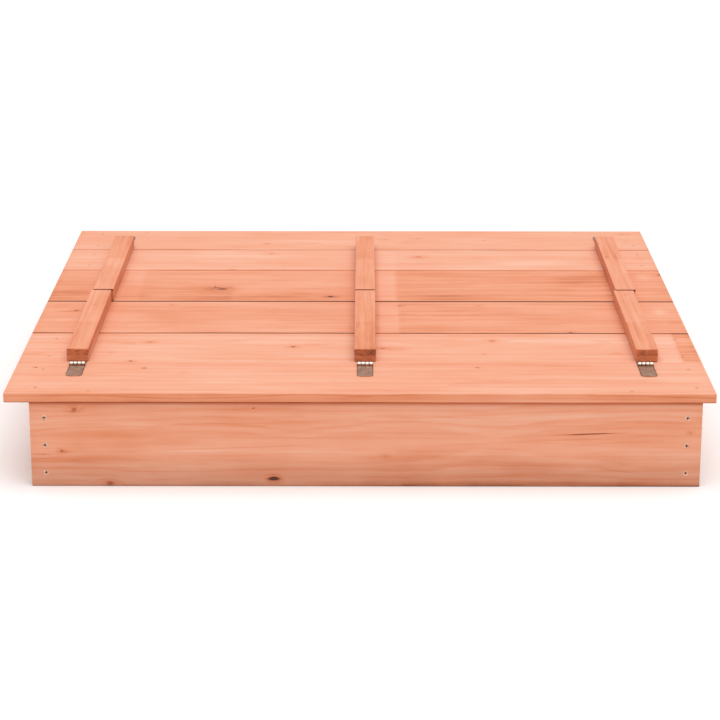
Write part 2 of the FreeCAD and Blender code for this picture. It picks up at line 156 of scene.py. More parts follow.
def patch_group():
    """A rectangle of a board's face, 1 inside and 0 outside, with soft sides."""
    inputs = {"Place": "Vector", "Low": "Vector", "High": "Vector", "Soft": "Float"}
    g, source, sink = new_group("patch", inputs, {"Amount": "Float"})
    over = g.split(g.vector("SUBTRACT", source["Place"], source["Low"]))
    under = g.split(g.vector("SUBTRACT", source["High"], source["Place"]))
    sides = [g.ease(side, 0.0, source["Soft"]) for side in (*over[:2], *under[:2])]
    g.tree.links.new(g.product(*sides), sink["Amount"])
    return g.tree


# Reaches of a board's edges, in millimetres past its block's faces: negative is inside.
WORN_EDGE = (-2.4, -0.3)
BOARD_END = (-12.0, 0.0)
CUT_END = (-0.8, -0.15)
LONG_SIDE = (-0.8, -0.1)
BOTTOM_EDGE = (-1.7, -0.5)
TOP_EDGE_INWARD = (-2.2, -0.6)
TOP_EDGE_DOWNWARD = (-2.8, -0.9)


def edge_group():
    """Where on a board's block a point is: near any long edge, near an end, on the cut end, on a long
    side, on a long edge underneath, or on one of the four edges round the top face. Those four are Low
    and High across the board, and Near and Far along it."""
    inputs = {"Place": "Vector", "Centre": "Vector", "Half": "Vector"}
    names = ("Edge", "End", "Cut", "Side", "Under", "Low", "High", "Near", "Far")
    g, source, sink = new_group("edge", inputs, {name: "Float" for name in names})
    from_centre = g.vector("SUBTRACT", source["Place"], source["Centre"])
    along, across, through = g.split(g.vector("SUBTRACT", g.vector("ABSOLUTE", from_centre), source["Half"]))
    nearer = g.math("MAXIMUM", along, across)
    second = g.math("MAXIMUM", g.math("MINIMUM", along, across), g.math("MINIMUM", nearer, through))
    is_far, is_high, is_top = [g.math("GREATER_THAN", part, 0.0) for part in g.split(from_centre)]
    top = g.product(g.ease(through, *TOP_EDGE_DOWNWARD), is_top)
    top_side = g.product(g.ease(across, *TOP_EDGE_INWARD), top)
    top_end = g.product(g.ease(along, *TOP_EDGE_INWARD), top)
    bottom = g.product(g.ease(through, *BOTTOM_EDGE), g.one_less(is_top))
    results = {
        "Edge": g.ease(second, *WORN_EDGE),
        "End": g.ease(along, *BOARD_END),
        "Cut": g.ease(along, *CUT_END),
        "Side": g.ease(across, *LONG_SIDE),
        "Under": g.product(bottom, g.ease(across, *BOTTOM_EDGE)),
        "Low": g.product(top_side, g.one_less(is_high)),
        "High": g.product(top_side, is_high),
        "Near": g.product(top_end, g.one_less(is_far)),
        "Far": g.product(top_end, is_far),
    }
    for name, amount in results.items():
        g.tree.links.new(amount, sink[name])
    return g.tree


# Textures of the fir's noises. Their axes are along the grain, across the board and through it.
WANDER_TEXTURE = ((0.0032, 0.009, 0.009), 1.0, 0.5)
RIPPLE_TEXTURE = ((0.02, 0.07, 0.07), 2.0, 0.5)
BAND_TEXTURE = ((0.0035, 0.13, 0.13), 2.0, 0.6)
FIBRE_TEXTURE = ((0.018, 1.1, 1.1), 3.0, 0.65)
CLOUD_TEXTURE = ((0.007, 0.022, 0.022), 3.0, 0.55)
FLECK_TEXTURE = ((0.09, 1.6, 1.6), 1.0, 0.5)
STRAY_TEXTURE = ((0.05, 0.25, 0.0), 2.0, 0.5)
STREAK_TEXTURE = ((0.012, 0.15, 0.15), 2.0, 0.5)
FUZZ_TEXTURE = ((0.05, 3.2, 3.2), 2.0, 0.6)

# Rings: how far a seed shifts the wood, how far rings ripple, how uneven years are, where in a year the
# dark late wood starts and stops, how faint the faintest year is, and where a fleck shows.
SEED_STEP = (517.0, 313.0, 119.0)
RIPPLE_WIDTH = 3.0
YEAR_GRAIN = 0.55
UNEVEN_YEARS = 1.6
LATE_WOOD_START = (0.3, 0.9)
LATE_WOOD_STOP = (1.0, 0.93)
FAINTEST_YEAR = 0.25
FLECK_REACH = (0.69, 0.78)


def fir_group():
    """Solid fir: yearly rings round a pith line, fibres along the grain, and clouds in the stain."""
    inputs = {"Place": "Vector", "Pith": "Vector", "Spacing": "Float", "Waver": "Float",
              "Bend": "Float", "Seed": "Float"}
    outputs = {"Ring": "Float", "Band": "Float", "Fibre": "Float", "Cloud": "Float", "Fleck": "Float"}
    g, source, sink = new_group("fir", inputs, outputs)
    shift = g.join(*[g.product(source["Seed"], step) for step in SEED_STEP])
    place = g.vector("ADD", source["Place"], shift)

    off_pith = g.vector("SUBTRACT", source["Place"], source["Pith"])
    radius = g.length(g.vector("MULTIPLY", off_pith, (0.0, 1.0, 1.0)))
    wander = g.product(g.swing(g.noise(place, WANDER_TEXTURE), 1.0), source["Waver"])
    ripple = g.swing(g.noise(place, RIPPLE_TEXTURE), RIPPLE_WIDTH)
    years = g.math("DIVIDE", g.total(radius, wander, ripple, source["Bend"]), source["Spacing"])
    line = {"W": years, "Scale": YEAR_GRAIN, "Detail": 1.0}
    uneven = g.add("ShaderNodeTexNoise", line, noise_dimensions="1D")
    years = g.total(years, g.swing(uneven, UNEVEN_YEARS))
    season = g.math("FRACT", years)
    late = g.product(g.ease(season, *LATE_WOOD_START), g.ease(season, *LATE_WOOD_STOP))
    year = g.add("ShaderNodeTexWhiteNoise", {"W": g.math("FLOOR", years)}, noise_dimensions="1D")
    results = {
        "Ring": g.product(late, g.ease(year, 0.0, 1.0, FAINTEST_YEAR, 1.0)),
        "Band": g.noise(place, BAND_TEXTURE),
        "Fibre": g.noise(place, FIBRE_TEXTURE),
        "Cloud": g.noise(place, CLOUD_TEXTURE),
        "Fleck": g.ease(g.noise(place, FLECK_TEXTURE), *FLECK_REACH),
    }
    for name, amount in results.items():
        g.tree.links.new(amount, sink[name])
    return g.tree


SPOT = spot_group()
PATCH = patch_group()
EDGE = edge_group()
FIR = fir_group()


# Timber. Each board says where its own marks are, as seen on its face:
#   tone     the stain of the whole board
#   pith     how far the middle of its rings is from its own middle, across and through
#   rings    the width of a year
#   waver    how far the rings wander
#   knots    (along, across, radius, strength)
#   marks    (along, across, reach along, reach across, slope, change of stain)
#   patches  (along from, along to, across from, across to, softness, change of stain)
#   side     change of stain on its long sides
#   joints   change of stain along the top edges at the low and at the high end of the across axis
#   butts    the same along the top edges of its two ends
#   ground   whether it stands on the ground with the cover over it, which gives it painted shade

STAIN = (
    (0.00, (0.860, 0.510, 0.370)),
    (0.20, (0.815, 0.390, 0.255)),
    (0.40, (0.790, 0.327, 0.190)),
    (0.60, (0.730, 0.250, 0.120)),
    (0.75, (0.610, 0.180, 0.072)),
    (0.90, (0.320, 0.082, 0.035)),
    (1.00, (0.110, 0.024, 0.009)),
)

ALONG_COVER = "xyz"
ALONG_PANEL = "xzy"
ALONG_SIDE = "yzx"
ALONG_BATTEN = "yxz"
ALONG_POST = "zxy"

BOARDS = {
    "front_outer_seat_board": dict(
        axes=ALONG_COVER, tone=0.29, pith=(-25, -85), rings=5.0, waver=22, side=0.24, joints=(0.0, 0.22),
        knots=[(-297, -336, 2.2, 0.5), (162, -333, 1.8, 0.45), (-447, -334, 1.8, 0.5),
               (-241, -356, 2.0, 0.25)],
        marks=[(-403, -332, 90, 3.0, -0.02, 0.16), (-283, -337, 16, 1.2, 0.1, 0.25),
               (60, -322, 330, 16, 0.0, 0.10), (-180, -322, 150, 10, 0.0, 0.06),
               (172, -340, 1.2, 12, 0.0, 0.18), (-448, -423, 1.6, 1.6, 0.0, 0.7),
               (-444, -332, 3.0, 1.4, 0.0, -0.35), (-100, -395, 260, 18, 0.01, -0.05),
               (320, -380, 190, 16, 0.0, -0.05), (250, -436, 160, 5, 0.0, 0.06),
               (-310, -450, 230, 2.5, 0.0, 0.14)]),
    "front_inner_seat_board": dict(
        axes=ALONG_COVER, tone=0.25, pith=(30, -70), rings=5.5, waver=26, joints=(0.20, 0.42),
        knots=[(-300, -212, 4.5, 0.30), (-95, -234, 3.6, 0.45), (32, -241, 3.8, 0.35),
               (189, -203, 4.8, 0.38), (175, -269, 3.0, 0.18), (-319, -304, 2.6, 0.55),
               (-350, -262, 3.5, 0.16), (360, -266, 3.0, 0.18)],
        marks=[(-460, -269, 26, 7, 0.0, 0.22), (50, -245, 34, 13, 0.0, 0.16),
               (366, -268, 20, 1.2, 0.05, 0.20), (-352, -262, 22, 2.0, 0.0, 0.14),
               (-40, -295, 260, 13, 0.0, 0.12), (330, -292, 130, 10, 0.0, 0.10),
               (-290, -190, 150, 7, 0.0, -0.10), (230, -190, 150, 9, 0.0, -0.12),
               (-120, -275, 60, 3, 0.0, 0.10)],
        patches=[(-480, 480, -181, -160, 3, 0.12), (449, 480, -306, -160, 1.5, 0.26),
                 (418, 449, -312, -160, 6, -0.10)]),
    "front_rest_board": dict(
        axes=ALONG_COVER, tone=0.42, pith=(10, -60), rings=4.6, waver=18, joints=(0.50, 0.60),
        knots=[(-284, -16, 2.6, 0.25), (59, -19, 2.8, 0.30), (178, -17, 2.8, 0.22),
               (-425, -47, 4.5, 0.30), (305, -160, 2.4, 0.35)],
        marks=[(-452, -20, 30, 14, 0.0, 0.12), (-440, -52, 26, 6, 0.05, 0.20),
               (-440, -98, 34, 11, 0.05, -0.14), (-445, -120, 28, 3, 0.05, 0.16),
               (-290, -75, 60, 34, 0.0, 0.10), (-55, -62, 52, 1.6, -0.02, 0.20),
               (-50, -72, 60, 1.6, 0.01, 0.16), (-58, -83, 55, 1.6, 0.0, 0.18),
               (-45, -96, 50, 1.8, 0.01, 0.20), (-34, -110, 42, 1.6, 0.0, 0.18),
               (-28, -124, 36, 1.4, 0.0, 0.16), (220, -60, 150, 26, 0.0, 0.07),
               (447, -52, 18, 28, 0.0, -0.26), (462, -110, 16, 24, 0.0, 0.14),
               (-200, -100, 110, 18, 0.0, -0.07)],
        patches=[(26, 59, -170, 0, 5, -0.14), (59, 388, -170, 10, 2, 0.03),
                 (415, 480, -165, -95, 8, 0.05)]),
    "rear_rest_board": dict(
        axes=ALONG_COVER, tone=0.43, pith=(-30, -75), rings=5.0, waver=24, joints=(0.68, 0.34),
        knots=[(-213, 75, 7.0, 0.22), (-46, 34, 4.0, 0.28), (472, 162, 2.4, 0.45)],
        marks=[(-226, 88, 2.0, 13, 0.0, 0.28), (-222, 84, 7, 5, 0.4, 0.15),
               (344, 128, 70, 56, 0.0, 0.09), (150, 30, 90, 22, 0.0, 0.10),
               (-60, 128, 80, 26, 0.0, -0.10), (-140, 120, 110, 22, 0.0, -0.04),
               (-46, 30, 30, 14, 0.0, 0.16), (-100, 45, 100, 20, 0.0, 0.10),
               (445, 150, 20, 30, 0.0, -0.20), (462, 60, 26, 40, 0.0, 0.08)],
        patches=[(-372, -337, 100, 188, 8, -0.14), (-345, -190, 5, 99, 12, 0.10),
                 (-372, -8, 5, 96, 14, 0.07), (-480, -415, 8, 92, 6, 0.08), (24, 57, 10, 188, 7, -0.17),
                 (57, 388, 8, 192, 2, 0.07)]),
    "rear_inner_seat_board": dict(
        axes=ALONG_COVER, tone=0.25, pith=(15, -90), rings=5.2, waver=20, joints=(0.46, 0.40),
        knots=[(-146, 294, 3.8, 0.30), (94, 275, 5.0, 0.28), (-205, 195, 2.6, 0.25)],
        marks=[(-150, 262, 60, 2.4, 0.0, 0.20), (-230, 262, 90, 1.6, 0.0, 0.10),
               (-360, 247, 34, 3.5, 0.0, 0.18), (-300, 296, 50, 3.5, 0.0, 0.14),
               (94, 272, 30, 14, 0.0, 0.12), (-270, 194, 60, 5, 0.0, 0.14),
               (270, 235, 90, 26, 0.0, -0.10), (-240, 236, 110, 16, 0.0, -0.08),
               (200, 303, 90, 2.0, 0.02, 0.10), (452, 262, 22, 22, 0.0, 0.12)],
        patches=[(27, 60, 195, 320, 6, -0.05)]),
    "rear_outer_seat_board": dict(
        axes=ALONG_COVER, tone=0.29, pith=(-20, -65), rings=4.6, waver=18, joints=(0.64, 0.0),
        knots=[(-156, 362, 2.8, 0.35), (41, 392, 3.4, 0.20), (94, 397, 3.2, 0.20),
               (206, 384, 2.4, 0.30), (440, 428, 3.0, 0.20)],
        marks=[(-200, 352, 170, 22, 0.0, 0.08), (-300, 405, 60, 8, 0.0, 0.10),
               (200, 372, 120, 6, 0.0, -0.12), (240, 358, 140, 1.6, 0.0, 0.14),
               (180, 348, 160, 1.4, 0.0, 0.12), (110, 340, 90, 1.4, 0.0, 0.10),
               (442, 375, 14, 8, 0.0, 0.16), (448, 428, 20, 2.2, 0.0, 0.22)],
        patches=[(-480, 480, 418, 455, 18, 0.06)]),
    "front_panel": dict(
        axes=ALONG_PANEL, tone=0.37, pith=(-5, 42), rings=8.0, waver=46,
        knots=[(-382, 108, 3.6, 0.25), (-401, 50, 2.4, 0.20), (-116, 11, 3.4, 0.55),
               (-337, 4, 4.5, 0.22), (35, 42.5, 2.2, 0.18), (443, 77, 2.0, 0.20),
               (-142, 111, 2.0, 0.25)],
        marks=[(-116, 11, 17, 4.2, 0.0, 0.42), (-428, 45.5, 32, 0.9, 0.015, 0.50),
               (-425, 39, 40, 0.9, 0.05, 0.22), (-395, 49, 16, 4.0, 0.0, 0.14),
               (312, 75.1, 66, 1.3, 0.036, 0.62), (250, 72.6, 70, 0.8, 0.02, 0.20),
               (-180, 54.5, 230, 1.3, 0.036, 0.14), (-190, 51.6, 200, 1.6, 0.036, -0.16),
               (150, 60.5, 220, 1.2, 0.012, 0.10), (-300, 88, 62, 4.5, 0.0, -0.16),
               (-290, 80, 80, 5.0, 0.02, 0.10), (-130, 92, 150, 22, 0.0, 0.07),
               (-250, 62, 120, 9, 0.04, 0.08), (250, 96, 250, 15, 0.02, -0.13),
               (190, 103, 230, 2.6, 0.052, 0.16), (60, 97, 60, 7, -0.10, 0.08),
               (300, 84, 150, 3.0, 0.05, -0.08), (260, 66, 180, 2.4, 0.045, 0.12),
               (330, 62, 120, 1.2, 0.055, 0.12), (-142, 112, 10, 5, 0.0, -0.16),
               (-337, 5, 16, 7, -0.1, 0.16), (40, 6, 230, 9, 0.0, 0.10)],
        patches=[(54, 470, -6, 9, 5, 0.16), (345, 470, -6, 13, 3, 0.06)],
        ground=True),
    "rear_panel": dict(
        axes=ALONG_PANEL, tone=0.34, pith=(20, -46), rings=7.0, waver=40,
        knots=[(-270, 84, 4.2, 0.45), (64, 30, 5.0, 0.50), (331, 92, 3.0, 0.40),
               (188, 66, 2.4, 0.30)],
        marks=[(-120, 60, 140, 5, 0.02, -0.12), (250, 40, 160, 3, -0.02, 0.12),
               (-330, 30, 70, 1.0, 0.02, 0.35), (400, 70, 60, 12, 0.0, -0.10)],
        ground=True),
    "left_panel": dict(
        axes=ALONG_SIDE, tone=0.33, pith=(15, 50), rings=6.5, waver=34,
        knots=[(-230, 40, 4.4, 0.48), (120, 88, 3.4, 0.42), (340, 56, 2.6, 0.35)],
        marks=[(0, 64, 260, 2.2, 0.02, 0.12), (-120, 92, 120, 7, 0.0, -0.12),
               (300, 30, 110, 5, -0.02, 0.10), (-390, 70, 44, 0.9, 0.01, 0.40)],
        ground=True),
    "right_panel": dict(
        axes=ALONG_SIDE, tone=0.32, pith=(-10, -44), rings=7.2, waver=38,
        knots=[(-60, 70, 4.8, 0.50), (250, 34, 3.2, 0.40), (-330, 94, 2.6, 0.35)],
        marks=[(80, 50, 220, 2.0, -0.02, 0.12), (200, 90, 120, 8, 0.0, -0.12),
               (-250, 36, 120, 5, 0.02, 0.10), (385, 46, 40, 0.9, 0.0, 0.36)],
        ground=True),
}

BATTEN = dict(axes=ALONG_BATTEN, rings=3.6, waver=9, side=0.14)
BATTENS = {
    ("front", "left"): dict(tone=0.43, pith=(8, -26), knots=[(-78, -394, 1.8, 0.22)]),
    ("front", "middle"): dict(tone=0.46, pith=(-14, -20)),
    ("front", "right"): dict(tone=0.43, pith=(10, 24), knots=[(-22, 399, 1.6, 0.25)]),
    ("rear", "left"): dict(tone=0.42, pith=(-9, -22), knots=[(205, -394, 2.2, 0.16)]),
    ("rear", "middle"): dict(tone=0.43, pith=(12, 26)),
    ("rear", "right"): dict(tone=0.42, pith=(-12, -18), knots=[(206, 393, 2.4, 0.24)]),
}

# Where a batten lies over a fixed seat it is darker, up to the seat's inner edge. Both battens of a pair
# are also darker along the edges where they meet.
OVER_SEAT = {"front": (-330, -168), "rear": (190, 345)}
ALL_BATTENS_ACROSS = (-500, 500)
OVER_SEAT_SOFT = 2.5
OVER_SEAT_STAIN = 0.11
BUTTS = {"front": (0.0, 0.55), "rear": (0.55, 0.0)}

POST = dict(axes=ALONG_POST, tone=0.26, pith=(14, -20), rings=3.4, waver=8)

# Each kind's first seed. Seeds set the boards' grain apart.
BOARD_SEED = 1
BATTEN_SEED = 20
POST_SEED = 40

# A knot's size and effects, as multiples of its radius and its strength.
KNOT_HALO = (5.5, 3.2)
KNOT_CORE = (1.7, 1.25)
KNOT_CORE_REACH = (0.0, 0.8)
KNOT_BEND = 2.2
KNOT_HALO_STAIN = 0.5
KNOT_CORE_STAIN = 0.9
KNOT_DENT = -0.4

# A mark whose stain changes by more than this is a crack, and is a dent too.
CRACK = 0.35
CRACK_DENT = -2.0

# How far the outlines of marks stray along and across, how the grain streaks a patch, and the reach,
# from a flat board's middle, of the upper half that a patch is on.
STRAY = (5.0, 1.6)
STREAKS = (0.32, 0.62, 0.45, 1.25)
UPPER_HALF = (-1.0, 1.0)

# Changes of stain. On a cut end, rings, bands and clouds lose the share CUT_FADE.
RING_STAIN = 0.13
BAND_STAIN = 0.52
FIBRE_STAIN = 0.20
CLOUD_STAIN = 0.50
FLECK_STAIN = 0.10
EDGE_STAIN = -0.07
END_STAIN = 0.05
SIDE_STAIN = 0.10
# Painted shade on the long edges underneath, which gives the shadow line under the cover's front edge.
UNDER_EDGE_SHADE = 0.45
CUT_STAIN = (0.0, 0.8, 0.22, 0.27)
CUT_FADE = 0.7

# Painted shade on the boards that stand on the ground, by height, as how bright it leaves them: darker
# towards the ground, with a painted shadow close under the cover. The cover line is a painted shadow line
# where the front and rear panels meet the cover, and it is redder than the other painted shade.
GROUND_SHADE_WAVER = 22.0
GROUND_SHADE = (6.0, 60.0, 0.78, 1.0)
FOOT_SHADE = (-2.0, 9.0, 0.80, 1.0)
UNDER_COVER_SHADE = (113.0, 118.5, 1.0, 0.72)
COVER_SHADOW_LINE = (115.0, 118.5, 1.0, 0.55)

# The wood's roughness and how rings, fibres and cut ends change it, and its relief.
WOOD_ROUGHNESS = 0.56
FIBRE_ROUGHNESS = 0.16
RING_ROUGHNESS = -0.08
CUT_ROUGHNESS = 0.2
WOOD_SHINE = 0.35
RING_HEIGHT = 0.35
FIBRE_HEIGHT = 0.5
FUZZ_HEIGHT = 0.3
WOOD_BUMP = {"Strength": 0.35, "Distance": 0.00025}


def in_board_order(point, axes):
    """A point in metres as (along, across, through) in millimetres."""
    return Vector([1000.0 * point["xyz".index(axis)] for axis in axes])


def board_place(g, axes):
    """The shaded point as (along, across, through) in millimetres."""
    metres = g.add("ShaderNodeTexCoord", {}, output="Object")
    x, y, z = g.split(g.vector("MULTIPLY", metres, (1000.0, 1000.0, 1000.0)))
    return g.join(*[{"x": x, "y": y, "z": z}[axis] for axis in axes])


def spot(g, place, along, across, reach_along, reach_across, slope=0.0):
    """How far inside an oval spot of a board's face a point is."""
    inputs = {"Place": place, "Centre": (along, across, 0.0), "Reach": (reach_along, reach_across, 1.0),
              "Slope": slope}
    return g.use(SPOT, inputs)["Amount"]


def own_marks(g, place, axes, mid_through, knots, marks, patches):
    """A board's own knots, marks and patches, as bends in its rings, changes of stain, and dents."""
    stir = g.noise(place, STRAY_TEXTURE)
    stray = g.join(*[g.swing(stir, amount) for amount in STRAY], 0.0)
    rough_place = g.vector("ADD", place, stray)
    bends, stains, dents = [], [], []
    for along, across, radius, strength in knots:
        halo = spot(g, rough_place, along, across, *[radius * reach for reach in KNOT_HALO])
        core = spot(g, rough_place, along, across, *[radius * reach for reach in KNOT_CORE])
        bends.append(g.product(halo, KNOT_BEND * radius))
        stains.append(g.product(halo, KNOT_HALO_STAIN * strength))
        stains.append(g.product(g.ease(core, *KNOT_CORE_REACH), KNOT_CORE_STAIN * strength))
        dents.append(g.product(core, KNOT_DENT))
    for *shape, change in marks:
        amount = spot(g, rough_place, *shape)
        stains.append(g.product(amount, change))
        if change > CRACK:
            dents.append(g.product(amount, CRACK_DENT))
    streaks = g.ease(g.noise(place, STREAK_TEXTURE), *STREAKS)
    if axes.endswith("z"):
        # A board that lies flat is weathered on its upper face only.
        upper_half = [mid_through + reach for reach in UPPER_HALF]
        streaks = g.product(streaks, g.ease(g.split(place)[2], *upper_half))
    for along_from, along_to, across_from, across_to, soft, change in patches:
        inputs = {"Place": rough_place, "Low": (along_from, across_from, 0.0),
                  "High": (along_to, across_to, 0.0), "Soft": soft}
        stains.append(g.product(g.use(PATCH, inputs)["Amount"], streaks, change))
    return bends, stains, dents


def shade_on_ground(g, colour, place, axes, cloud):
    """The colour of a standing board, with painted shade near the ground and a painted shadow close under
    the cover.
    """
    height = g.split(place)[axes.index("z")]
    uneven = g.math("SUBTRACT", height, g.swing(cloud, GROUND_SHADE_WAVER))
    # Painted shade: darker towards the ground, and a painted shadow close under the cover.
    shade = g.product(g.ease(uneven, *GROUND_SHADE), g.ease(uneven, *FOOT_SHADE), g.ease(height, *UNDER_COVER_SHADE))
    tint = [shade, shade, shade]
    if axes == ALONG_PANEL:
        # The redder painted shadow line where the panel meets the cover.
        line = g.ease(height, *COVER_SHADOW_LINE)
        tint = [shade, g.product(shade, line), g.product(shade, line, line)]
    return g.blend(1.0, colour, g.join(*tint), "MULTIPLY")


def wood(node, seed, axes, tone, pith, rings, waver, knots=(), marks=(), patches=(), side=SIDE_STAIN,
         joints=(0.0, 0.0), butts=(0.0, 0.0), ground=False):
    """The material of one board."""
    material, g, shader = new_material(node + "_wood")
    low, high = [in_board_order(corner, axes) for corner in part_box(node)]
    centre, half = (low + high) / 2, (high - low) / 2
    place = board_place(g, axes)
    bends, own_stains, dents = own_marks(g, place, axes, centre[2], knots, marks, patches)

    pith_line = (0.0, centre[1] + pith[0], centre[2] + pith[1])
    fir = g.use(FIR, {"Place": place, "Pith": pith_line, "Spacing": rings, "Waver": waver,
                      "Bend": g.total(*bends) if bends else 0.0, "Seed": seed})
    edge = g.use(EDGE, {"Place": place, "Centre": centre, "Half": half})
    lengthwise = g.one_less(g.product(edge["Cut"], CUT_FADE))
    stains = [
        tone,
        *own_stains,
        g.product(fir["Ring"], RING_STAIN, lengthwise),
        g.product(g.swing(fir["Band"], BAND_STAIN), lengthwise),
        g.swing(fir["Fibre"], FIBRE_STAIN),
        g.product(g.swing(fir["Cloud"], CLOUD_STAIN), lengthwise),
        g.product(fir["Fleck"], FLECK_STAIN),
        g.product(edge["Edge"], EDGE_STAIN),
        g.product(edge["End"], END_STAIN),
        g.product(edge["Cut"], g.ease(fir["Ring"], *CUT_STAIN)),
        g.product(edge["Side"], side),
        # painted shade along the long edges underneath
        g.product(edge["Under"], UNDER_EDGE_SHADE),
    ]
    for name, change in zip(("Low", "High", "Near", "Far"), (*joints, *butts)):
        stains.append(g.product(edge[name], change))
    colour = g.ramp(g.total(*stains), STAIN)
    if ground:
        colour = shade_on_ground(g, colour, place, axes, fir["Cloud"])
    g.tree.links.new(colour, shader.inputs["Base Color"])

    roughness = g.total(WOOD_ROUGHNESS, g.swing(fir["Fibre"], FIBRE_ROUGHNESS),
                        g.product(fir["Ring"], RING_ROUGHNESS), g.product(edge["Cut"], CUT_ROUGHNESS))
    g.tree.links.new(roughness, shader.inputs["Roughness"])
    height = g.total(g.product(fir["Ring"], RING_HEIGHT), g.product(fir["Fibre"], FIBRE_HEIGHT),
                     g.product(g.noise(place, FUZZ_TEXTURE), FUZZ_HEIGHT), *dents)
    bump = g.add("ShaderNodeBump", {"Height": height, **WOOD_BUMP})
    g.tree.links.new(bump, shader.inputs["Normal"])
    shader.inputs["Specular IOR Level"].default_value = WOOD_SHINE
    return material


# Steel. Each plating is its colour where it is sound and where it is worn.

PIN = ((0.66, 0.64, 0.61), (0.50, 0.46, 0.42))
LEAF = ((0.60, 0.38, 0.28), (0.42, 0.25, 0.17))
ZINC = ((0.60, 0.41, 0.30), (0.46, 0.29, 0.20))
PANEL_ZINC = ((0.86, 0.50, 0.36), (0.66, 0.36, 0.25))
IRON = ((0.92, 0.54, 0.37), (0.74, 0.39, 0.25))
# Painted highlight on the tops of the hinge knuckles.
KNUCKLE_HIGHLIGHT_COLOUR = (0.85, 0.74, 0.65, 1.0)
# Painted shade in the gaps between knuckles and at the leaf's sides.
GAP_SHADE_COLOUR = (0.10, 0.055, 0.04, 1.0)
# Painted shade inside the recesses of screws and nails.
RECESS_SHADE_COLOUR = (0.06, 0.035, 0.025, 1.0)

PIN_ROUGHNESS = 0.26
LEAF_ROUGHNESS = 0.40
HEAD_ROUGHNESS = 0.42
BRUSH_ROUGHNESS = 0.12
WEAR_ROUGHNESS = 0.12
BRUSH_TEXTURE = ((3.2, 0.4, 3.2), 3.0, 0.6)
WEAR_TEXTURE = ((0.16, 0.16, 0.16), 3.0, 0.6)
WEAR_REACH = (0.38, 0.66)
BRUSH_IN_WEAR = 0.35
STEEL_BUMP = {"Strength": 0.3, "Distance": 0.00012}

# Each group of screws or nails: the axis its heads face along, which way, and the plating.
HEADS = {
    "front_panel_screws": ("y", -1, PANEL_ZINC),
    "rear_panel_screws": ("y", 1, PANEL_ZINC),
    "left_panel_screws": ("x", -1, PANEL_ZINC),
    "right_panel_screws": ("x", 1, PANEL_ZINC),
    "front_rest_screws": ("z", -1, ZINC),
    "rear_rest_screws": ("z", -1, ZINC),
    "front_seat_hinge_screws": ("z", 1, ZINC),
    "rear_seat_hinge_screws": ("z", 1, ZINC),
    "front_rest_hinge_screws": ("z", -1, ZINC),
    "rear_rest_hinge_screws": ("z", -1, ZINC),
    "front_seat_nails": ("z", 1, IRON),
    "rear_seat_nails": ("z", 1, IRON),
}
# Painted shade inside the heads' recesses, from this depth below their surface.
RECESS_SHADE_DEPTH = (0.15, 0.9)

# A hinge leaf: reaches down from its knuckles' top, from the middle of a gap, and out from its middle, for
# its painted highlight and painted shade.
KNUCKLES = 4
# The knuckles' tops get a painted highlight.
KNUCKLE_HIGHLIGHT_REACH = (-3.4, -1.6)
GAP_UPWARD = (-4.4, -3.4)
GAP_INWARD = (1.1, 0.35)
# The gaps between knuckles and the leaf's sides get painted shade.
GAP_SHADE = 0.85
RIM_OUTWARD = (9.4, 10.9)
RIM_SHADE = 0.75


def steel(name, plating, roughness):
    """Plated steel with fine brush marks, and duller patches where the plating is worn."""
    material, g, shader = new_material(name)
    sound, worn = plating
    place = board_place(g, "xyz")
    brushed = g.noise(place, BRUSH_TEXTURE)
    patchy = g.noise(place, WEAR_TEXTURE)
    wear = g.ease(g.total(patchy, g.swing(brushed, BRUSH_IN_WEAR)), *WEAR_REACH)
    g.tree.links.new(g.blend(wear, (*sound, 1.0), (*worn, 1.0)), shader.inputs["Base Color"])
    dull = g.total(roughness, g.swing(brushed, BRUSH_ROUGHNESS), g.product(wear, WEAR_ROUGHNESS))
    g.tree.links.new(dull, shader.inputs["Roughness"])
    bump = g.add("ShaderNodeBump", {"Height": brushed, **STEEL_BUMP})
    g.tree.links.new(bump, shader.inputs["Normal"])
    shader.inputs["Metallic"].default_value = 1.0
    return material, g, shader


def head_material(node, axis, outward, plating):
    """Steel for a group of screws or nails, with painted shade inside their recesses."""
    material, g, shader = steel(node + "_steel", plating, HEAD_ROUGHNESS)
    low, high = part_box(node)
    surface = 1000.0 * (high if outward > 0 else low)["xyz".index(axis)]
    level = g.split(board_place(g, "xyz"))["xyz".index(axis)]
    depth = g.product(g.math("SUBTRACT", surface, level), outward)
    shown = shader.inputs["Base Color"].links[0].from_socket
    # painted shade deeper than the head's surface
    recess_shade = g.blend(g.ease(depth, *RECESS_SHADE_DEPTH), shown, RECESS_SHADE_COLOUR)
    g.tree.links.new(recess_shade, shader.inputs["Base Color"])
    return material


